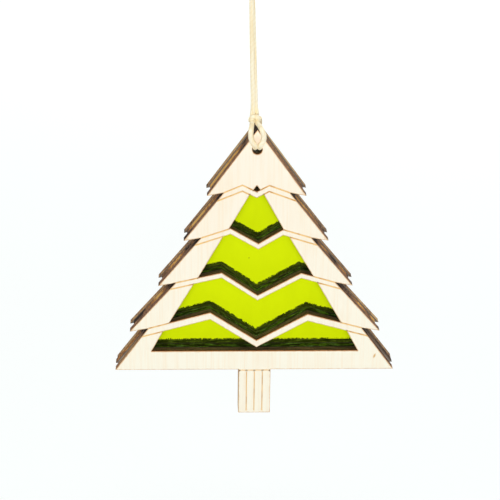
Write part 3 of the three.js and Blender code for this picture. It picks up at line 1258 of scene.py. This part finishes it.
@dataclass
class TwistedCord:
    """Three-ply cord: a lobed round carried along a route and turned once in each lay."""

    name: str
    points: np.ndarray
    material: bpy.types.Material
    radius: float
    lay: float = 4.4
    plies: int = 3
    groove: float = 0.04  # how deep the valley between two plies is, as a share of the radius
    sides: int = 30
    step: float = 0.16
    ends: tuple[float, float] = (1.0, 1.0)  # the radius at each end, as shares
    end_length: float = 0.35
    slack: float = 0.0  # how much thicker it is where it lies loose on the tree, as a share
    slack_depths: tuple[float, float] = (-5.9, -4.6)  # y in the frame: full, and none
    end_groove: float = 0.6  # how much of a valley the cut ends count as
    map_length: float = 60.0  # the cord's length on its map's full height
    route: np.ndarray = field(init=False)

    def build(self) -> bpy.types.Object:
        """Builds the tube.

        At angle a and run s the radius is R (1 - g (1 - |cos(n a / 2 - n pi s / lay)|)), with n
        plies and groove depth g, so each ply is round and the valley between two is sharp.

        Returns:
            The piece, without a body yet.
        """
        self.route = smooth_route(self.points, self.step)
        count, sides = len(self.route), self.sides
        run = lengths_along(self.route)
        across, upward = carried_frames(self.route)
        angle = np.linspace(0, 2 * np.pi, sides, endpoint=False)
        phase = self.plies * (angle[None] / 2 - np.pi * run[:, None] / self.lay)
        valley = 1 - np.abs(np.cos(phase))
        taper = np.interp(run, [0, self.end_length, run[-1] - self.end_length, run[-1]],
                          [self.ends[0], 1, 1, self.ends[1]])
        loose = 1 + self.slack * np.interp(self.route[:, 1], self.slack_depths, [1, 0])
        radius = self.radius * (1 - self.groove * valley) * (taper * loose)[:, None]
        ring = (across[:, None] * np.cos(angle)[None, :, None]
                + upward[:, None] * np.sin(angle)[None, :, None])
        verts = (self.route[:, None] + radius[..., None] * ring).reshape(-1, 3)
        verts = np.vstack([verts, self.route[:1], self.route[-1:]])
        rows, cols = np.meshgrid(np.arange(count - 1), np.arange(sides), indexing="ij")
        a, b = rows * sides + cols, rows * sides + (cols + 1) % sides
        quads = np.stack([a, b, b + sides, a + sides], axis=-1).reshape(-1, 4)
        turn = np.arange(sides)
        beside = (turn + 1) % sides
        first, last, ring_end = count * sides, count * sides + 1, (count - 1) * sides
        low = np.stack([np.full(sides, first), beside, turn], axis=1)
        high = np.stack([np.full(sides, last), ring_end + turn, ring_end + beside], axis=1)
        faces = [*quads.tolist(), *low.tolist(), *high.tolist()]
        piece = new_piece(self.name, verts * MM, faces, [self.material])
        add_numbers(piece, "groove", np.concatenate([valley.ravel(), [self.end_groove] * 2]))
        layer = piece.data.uv_layers.new(name="cord")
        around = (np.stack([cols, cols + 1, cols + 1, cols], axis=-1) / sides
                  - run[rows][..., None] / self.lay).reshape(-1)
        reach = run[np.stack([rows, rows, rows + 1, rows + 1], axis=-1)] / self.map_length
        reach = reach.reshape(-1)
        caps = np.zeros((6 * sides, 2))
        layer.data.foreach_set("uv", np.vstack([np.stack([around, reach], axis=1), caps]).ravel())
        piece.data.polygons.foreach_set("use_smooth", np.ones(len(faces), bool))
        return piece


# The cord's courses in the frame, in millimetres. The strands rise from the hitch, part round the
# hook and meet in the knot. The hitch runs from the front strand down the tree's face, through the
# hole and up the back, across in front of both strands, down the back, through the hole again and
# up the face to the back strand.
FRONT_STRAND = np.array([
    [0.66, -0.45, -43.5], [0.86, -0.55, -41.5], [0.76, -0.62, -35], [0.57, -0.63, -28],
    [0.36, -0.64, -21], [0.2, -0.65, -14], [0.08, -0.67, -8.15], [0.08, -0.9, -6.9],
    [0.06, -1.6, -5.2], [0.03, -1.9, -3.4], [0, -1.5, -1.5], [0, -0.85, -0.2], [0, -0.7, 1.4]])
BACK_STRAND = np.array([
    [2.04, 0.47, -43.5], [1.71, 0.55, -41.5], [1.44, 0.62, -35], [1.17, 0.63, -28],
    [0.93, 0.64, -21], [0.66, 0.65, -14], [0.43, 0.67, -8.15], [0.34, 0.9, -6.9],
    [0.19, 1.6, -5.2], [0.08, 1.9, -3.4], [0, 1.5, -1.5], [0, 0.85, -0.2], [0, 0.7, 1.4]])
HITCH = np.array([
    [0.66, -0.45, -43.5], [0.66, -0.6, -44.2], [0.7, -1.1, -44.95], [0.6, -2.05, -45.45],
    [0.45, -3.4, -45.75], [0.33, -4.8, -46.05], [0.2, -5.68, -46.65], [0.11, -6.02, -47.55],
    [0.13, -6.0, -48.6], [0.41, -5.98, -49.8], [0.87, -5.96, -50.7], [1.28, -5.95, -51.3],
    [1.45, -5.74, -51.74], [1.48, -5.25, -52.2], [1.49, -4.2, -52.44], [1.49, 0, -52.46],
    [1.49, 3, -52.46], [1.47, 4.35, -52.46], [1.44, 4.95, -52.37], [1.4, 5.42, -51.95],
    [1.34, 5.57, -51.2], [1.2, 5.57, -49.5], [1, 5.52, -47.7], [0.75, 4.95, -46.75],
    [0.44, 3.7, -46.1], [0.32, 1.9, -45.88], [0.3, 0.3, -45.6], [0.28, -0.85, -45.02],
    [0.36, -1.4, -44.58], [0.52, -1.78, -44.12], [0.82, -1.93, -43.8], [1.34, -1.97, -43.7],
    [1.86, -1.93, -43.78], [2.16, -1.78, -44.06], [2.32, -1.4, -44.5], [2.42, -0.85, -44.92],
    [2.5, 0.3, -45.42], [2.68, 1.9, -45.68], [2.98, 3.7, -45.95], [3.12, 5.05, -46.6],
    [3.2, 5.54, -47.7], [3.1, 5.57, -49.5], [2.96, 5.57, -51.2], [2.89, 5.42, -51.95],
    [2.86, 4.95, -52.37], [2.83, 4.35, -52.46], [2.81, 3, -52.46], [2.81, 0, -52.46],
    [2.81, -4.2, -52.44], [2.82, -5.25, -52.2], [2.87, -5.74, -51.74], [3.02, -5.95, -51.3],
    [3.55, -5.96, -50.55], [3.95, -5.98, -49.4], [3.98, -6.01, -48.3], [3.74, -6.02, -47.45],
    [3.37, -5.68, -46.65], [2.98, -4.8, -46.15], [2.58, -3.4, -45.9], [2.2, -2.05, -45.7],
    [1.98, -0.85, -45.45], [1.86, -0.1, -45.12], [1.88, 0.35, -44.65], [1.99, 0.46, -44.1],
    [2.04, 0.47, -43.5]])
LEFT_END = np.array([[-0.45, 0, 4.6], [-0.8, -0.05, 6.1], [-0.98, -0.12, 7.6], [-1.3, -0.3, 9.5]])
RIGHT_END = np.array([[0.45, 0, 4.6], [0.8, 0.08, 6.1], [0.95, 0.17, 7.3], [1.35, 0.35, 8.9]])


@dataclass
class HangingCord:
    """The doubled cord: its hitch on the tree, two strands, a knot and the cut ends."""

    material: bpy.types.Material
    diameter: float = 1.44
    knot_turns: float = 2.3
    knot_start: float = 0.4  # radians
    knot_tuck: float = 0.45  # its radius where it tucks in, as a share
    knot_radius: float = 1.38
    knot_low: float = 1.75
    knot_rise: float = 2.9

    def knot_points(self) -> np.ndarray:
        """The knot's wraps: a helix whose two ends tuck in towards the axis.

        Returns:
            Rows of x, y and z in millimetres.
        """
        share = np.linspace(0, 1, 40)
        turn = 2 * np.pi * self.knot_turns * share + self.knot_start
        tuck = np.interp(share, [0, 0.12, 0.88, 1], [self.knot_tuck, 1, 1, self.knot_tuck])
        return np.stack([self.knot_radius * tuck * np.cos(turn),
                         self.knot_radius * tuck * np.sin(turn),
                         self.knot_low + self.knot_rise * share], axis=1)

    def twisted(self, name: str, points: np.ndarray, **shape: object) -> TwistedCord:
        """A stretch of this cord along some points."""
        return TwistedCord(name, points, self.material, radius=self.diameter / 2, **shape)

    def strand(self, name: str, points: np.ndarray, *nodes: str) -> None:
        """Builds a strand, which turns along its length, and puts it in place of its nodes.

        Args:
            name: the strand's name.
            points: its course in the frame, in millimetres.
            nodes: the nodes it stands for.
        """
        cord = self.twisted(name, points)
        piece = cord.build()
        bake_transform(piece)
        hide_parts(*nodes)

    def build(self) -> None:
        """Builds every stretch, and joins the knot and the cut ends to the eye."""
        self.strand("cord_front", FRONT_STRAND, "cord_strand_front", "cord_eye_front")
        self.strand("cord_back", BACK_STRAND, "cord_strand_back", "cord_eye_back")
        hitch = self.twisted("hitch", HITCH, slack=0.12).build()
        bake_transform(hitch)
        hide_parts("cord_hitch")
        for name, points, ends in (("knot", self.knot_points(), (0.7, 0.7)),
                                   ("end_left", LEFT_END, (1.0, 1.06)),
                                   ("end_right", RIGHT_END, (1.0, 1.06))):
            piece = self.twisted(name, points, ends=ends).build()
            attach(piece, "eye")
            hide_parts("cord_" + name)


# Studio

@dataclass(frozen=True)
class Studio:
    """Camera, lamps, pale floor and white surroundings."""

    target: tuple[float, float, float] = (-1.853, 0.0, 40.03)
    distance: float = 500.0
    yaw: float = 2.121  # degrees, as the next two
    pitch: float = 22.0
    roll: float = -0.669
    focal: float = 118.54
    sensor: float = 36.0
    lit_middle: tuple[float, float, float] = (0.0, 5.0, 35.0)  # what the lamps face, on the tree
    fill: float = 0.14
    floor_middle: tuple[float, float, float] = (0.0, 5.0, -75.2)
    floor_radius: float = 4.0  # metres
    floor_grey: str = "#969696"
    floor_white: str = "#fafffe"
    floor_glow: float = 0.73  # how far the floor near the tree is lifted to white
    glow_edge: tuple[float, float] = (0.9, 1.3)  # metres from the origin, where it rises to full

    def camera(self) -> None:
        """Places the camera at the photograph's angle."""
        yaw, pitch, roll = (math.radians(a) for a in (self.yaw, self.pitch, self.roll))
        back = np.array([-math.sin(yaw) * math.cos(pitch), -math.cos(yaw) * math.cos(pitch),
                         math.sin(pitch)])
        right = np.array([math.cos(yaw), -math.sin(yaw), 0.0])
        up = np.cross(back, right)
        turned = math.cos(roll) * right - math.sin(roll) * up
        upright = math.sin(roll) * right + math.cos(roll) * up
        place = in_frame(np.array(self.target) + self.distance * back)
        camera = bpy.data.objects.new("camera", bpy.data.cameras.new("camera"))
        camera.data.lens, camera.data.sensor_width = self.focal, self.sensor
        matrix = np.eye(4)
        matrix[:3] = np.stack([turned, upright, back, place], axis=1)
        camera.matrix_world = Matrix(matrix.tolist())
        bpy.context.scene.collection.objects.link(camera)
        bpy.context.scene.camera = camera

    def lamp(self, name: str, place: tuple[float, float, float], size: float,
             power: float) -> None:
        """A square soft lamp that faces the tree's middle.

        Args:
            name: the lamp's name.
            place: where it is from there, in metres.
            size: side in metres.
            power: watts.
        """
        light = bpy.data.lights.new(name, "AREA")
        light.shape, light.size, light.energy = "SQUARE", size, power
        lamp = bpy.data.objects.new(name, light)
        lamp.location = Vector(in_frame(self.lit_middle)) + Vector(place)
        lamp.rotation_mode = "QUATERNION"
        lamp.rotation_quaternion = (-Vector(place)).to_track_quat("-Z", "Y")
        bpy.context.scene.collection.objects.link(lamp)

    def surroundings(self) -> None:
        """White to the camera and in gloss, a plain even fill to everything else."""
        world = bpy.data.worlds.new("white_room")
        bpy.context.scene.world = world
        n = Nodes(world)
        strength = n.add("MapRange", i0=self.seen_directly(n), i1=0.0, i2=1.0, i3=self.fill, i4=1.0)
        light = n.add("Background", Color="#ffffff", Strength=strength)
        n.add("OutputWorld", Surface=light)

    @staticmethod
    def seen_directly(n: Nodes) -> bpy.types.NodeSocket:
        """1 for the camera's own rays and those in gloss or through glass, otherwise 0.

        Args:
            n: the world's or the material's nodes.

        Returns:
            The output that gives it.
        """
        camera = n.add("LightPath", out="Is Camera Ray")
        paths = camera.node.outputs
        bent = n.add("Math", {"operation": "MAXIMUM"}, i0=paths["Is Glossy Ray"],
                     i1=paths["Is Transmission Ray"])
        return n.add("Math", {"operation": "MAXIMUM"}, i0=camera, i1=bent)

    def floor(self) -> None:
        """A wide matt floor that keeps the shadow, lifted to white for the camera."""
        n = Nodes(bpy.data.materials.new("white_floor"))
        where = n.add("TexCoord", out="Object")
        far = n.add("VectorMath", {"operation": "LENGTH"}, "Value", i0=where)
        start, end = self.glow_edge
        least = n.add("MapRange", i0=far, i1=start, i2=end, i3=self.floor_glow, i4=1.0)
        glow = n.add("Math", {"operation": "MULTIPLY"}, i0=self.seen_directly(n), i1=least)
        matt = n.add("BsdfDiffuse", Color=self.floor_grey)
        lit = n.add("Emission", Color=self.floor_white, Strength=glow)
        n.add("OutputMaterial", Surface=n.add("AddShader", i0=matt, i1=lit))
        turn = np.linspace(0, 2 * np.pi, 96, endpoint=False)
        rim = np.stack([np.cos(turn), np.sin(turn), np.zeros(len(turn))], axis=1)
        disc = in_frame(self.floor_middle) + self.floor_radius * rim
        new_piece("floor", disc, [list(range(len(turn)))], [n.owner])

    def build(self) -> None:
        """Sets up everything around the ornament."""
        self.camera()
        self.surroundings()
        self.floor()
        for name, place, size, power in (
                ("key_lamp", (-0.04, -1.0, 0.26), 0.36, 8.1),
                ("top_lamp", (0.0, -0.1, 0.9), 0.7, 2.6),
                ("left_lamp", (-0.95, 0.1, 0.15), 0.6, 2.4),
                ("right_lamp", (0.95, 0.1, 0.15), 0.6, 2.8),
                ("back_lamp", (0.15, 1.0, 0.35), 0.6, 6.0)):
            self.lamp(name, place, size, power)
        bpy.context.scene.view_settings.view_transform = "Standard"


# Glued stack

Rows = tuple[tuple[int, float, float, float], ...]  # tier, share down its side, reach, amount


def charred(left: Rows, right: Rows) -> tuple[Patch, ...]:
    """The patches of one sheet, with the dark one at its apex first."""
    return (Patch(Side.LEFT, 0, 0.0, 2.8, -0.9), *[Patch(Side.LEFT, *row) for row in left],
            *[Patch(Side.RIGHT, *row) for row in right])


FRONT_PATCHES = charred(
    ((0, 0.28, 1.8, -0.6), (1, 0.92, 2.5, -0.35), (2, 0.15, 4.0, -0.25), (3, 0.8, 3.0, -0.25),
     (4, 0.55, 9.0, 0.5)),
    ((2, 0.5, 2.5, -0.35), (3, 0.3, 5.0, -0.3), (4, 0.5, 9.0, -0.25)))
MIDDLE_PATCHES = charred(
    ((0, 0.27, 1.8, -0.9), (0, 0.35, 6.0, 0.3), (0, 0.85, 7.0, 0.7), (0, 0.97, 1.0, 0.4),
     (1, 0.3, 3.0, -0.1), (1, 0.72, 4.5, 0.85), (1, 1.0, 1.6, -0.3),
     (2, 0.33, 2.6, -0.4), (2, 0.6, 2.6, 0.5), (2, 0.85, 3.0, 0.05),
     (3, 0.14, 3.0, -0.35), (3, 0.4, 3.4, 0.45), (3, 0.9, 3.2, -1.2), (4, 0.5, 9.0, 0.15)),
    ((0, 0.5, 9.0, -0.05), (1, 0.42, 3.5, 0.45), (1, 0.9, 1.4, -0.3),
     (2, 0.38, 2.8, 0.25), (2, 0.62, 2.2, -0.9), (2, 0.86, 2.6, 0.6),
     (3, 0.2, 4.5, -0.5), (3, 0.64, 2.4, 0.4), (3, 0.84, 1.8, -0.05), (3, 0.99, 1.4, 1.3),
     (4, 0.2, 4.0, -0.35), (4, 0.75, 7.0, -0.5)))
REAR_PATCHES = charred(
    ((0, 0.5, 12.0, 0.3), (3, 0.5, 6.0, 0.1), (4, 0.5, 9.0, 0.25)),
    ((0, 0.5, 12.0, 0.6), (3, 0.6, 2.5, 0.4), (3, 0.98, 2.0, 1.9)))


@dataclass
class TreeStack:
    """The glued stack: three birch frames and the green panel."""

    plan: TreePlan = field(default_factory=TreePlan)
    sheet: float = 3.0  # thickness of a frame's sheet, and of the panel
    panel: float = 1.0
    bar_score_half: float = 0.17
    trunk_score_half: float = 0.11

    def sheets(self) -> list[CutSheet]:
        """The four sheets with their materials, from the front to the back.

        Returns:
            The three frames and the panel.
        """
        plan, deep = self.plan, self.sheet
        birch = BirchFace().make()
        bare = BirchFace(name="bare_birch_back", fleck_place=None).make()
        # Laser smoke and painted shade darken the middle and rear frames' faces up to 2.2
        # millimetres from each cut; only the gaps between the frames show them.
        smoked_and_shaded = BirchFace(name="smoked_and_shaded_birch_veneer", scorch="#46352a", fleck_place=None,
                           scorch_reach=(1.4, 2.2), scorch_share=0.95).make()
        lip = ToastedLip("toasted_lip", "#a06c40", "#7a5232").make()
        sill = ToastedLip("toasted_sill", "#cc6a1c", "#8a4a1c").make()
        front_edge = CharredEdge("charred_front_edge", "#33261f", "#866450", "#9a7052", "#b08c66",
                                 "#72543f").make()
        middle_edge = CharredEdge("charred_middle_edge", "#2a1e16", "#8e6a4a", "#b07038",
                                  "#e2b264", "#7a5434", seam_share=0.35).make()
        rear_edge = CharredEdge("charred_rear_edge", "#3a2d22", "#a07c5c", "#b28a58", "#caaa7c",
                                "#8a6a4a", seam_share=0.45, speckle=2.4).make()
        panel_edge = CharredEdge("charred_panel_edge", "#4a3a24", "#9a7448", "#b0844e", "#c9a062",
                                 "#8a6438").make()
        front_window = PaintedEdge("front_window_wall", "#3c301e", "#766040", "#66603a", 0.35,
                                   seam_share=0.4).make()
        middle_window = PaintedEdge("middle_window_wall", "#0a0f05", "#2a370a", "#4f7016", 0.5,
                                    light="#7fae58", light_share=0.42).make()
        rear_window = PaintedEdge("rear_window_wall", "#161d07", "#46541a", "#62722c", 0.45,
                                  light="#8f9a3c", light_share=0.2, seam_share=0.5,
                                  edge_y=3 * deep).make()
        score = [(line, self.bar_score_half) for line in plan.bar_score_lines()]
        score += [(line, self.trunk_score_half) for line in plan.trunk_score_lines()]
        windows = plan.windows()
        return [
            CutSheet("tree_front", "front_frame", plan, plan.front_outline(), 0.0, deep,
                     [birch, front_edge, front_window, bare, lip, sill], windows=windows,
                     score=score, burns=plan.burn_points(), patches=FRONT_PATCHES),
            CutSheet("tree_middle", "middle_frame", plan, plan.middle_outline(), deep, deep,
                     [smoked_and_shaded, middle_edge, middle_window, bare, middle_edge, middle_window],
                     windows=windows, patches=MIDDLE_PATCHES),
            CutSheet("tree_rear", "rear_frame", plan, plan.rear_outline(), 2 * deep, deep,
                     [smoked_and_shaded, rear_edge, rear_window, bare, rear_edge, rear_window],
                     windows=windows, patches=REAR_PATCHES),
            CutSheet("tree_panel", "backing_panel", plan, plan.panel_outline(), 3 * deep,
                     self.panel, [LimePaint().make(), panel_edge, panel_edge, bare, panel_edge,
                                  panel_edge], marks=windows),
        ]

    def build(self) -> None:
        """Builds the sheets and reports each."""
        for sheet in self.sheets():
            piece = sheet.build("tree", "green_paint" if sheet.node == "backing_panel" else "birch")
            log.info("%s: %d faces", sheet.name, len(piece.data.polygons))


def main() -> None:
    """Builds the studio, the cord and the tree."""
    logging.basicConfig(level=logging.INFO, format="%(name)s: %(message)s")
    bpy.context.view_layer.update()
    Studio().build()
    HangingCord(CottonCord().make()).build()
    TreeStack().build()


if __name__ == "__main__":
    main()
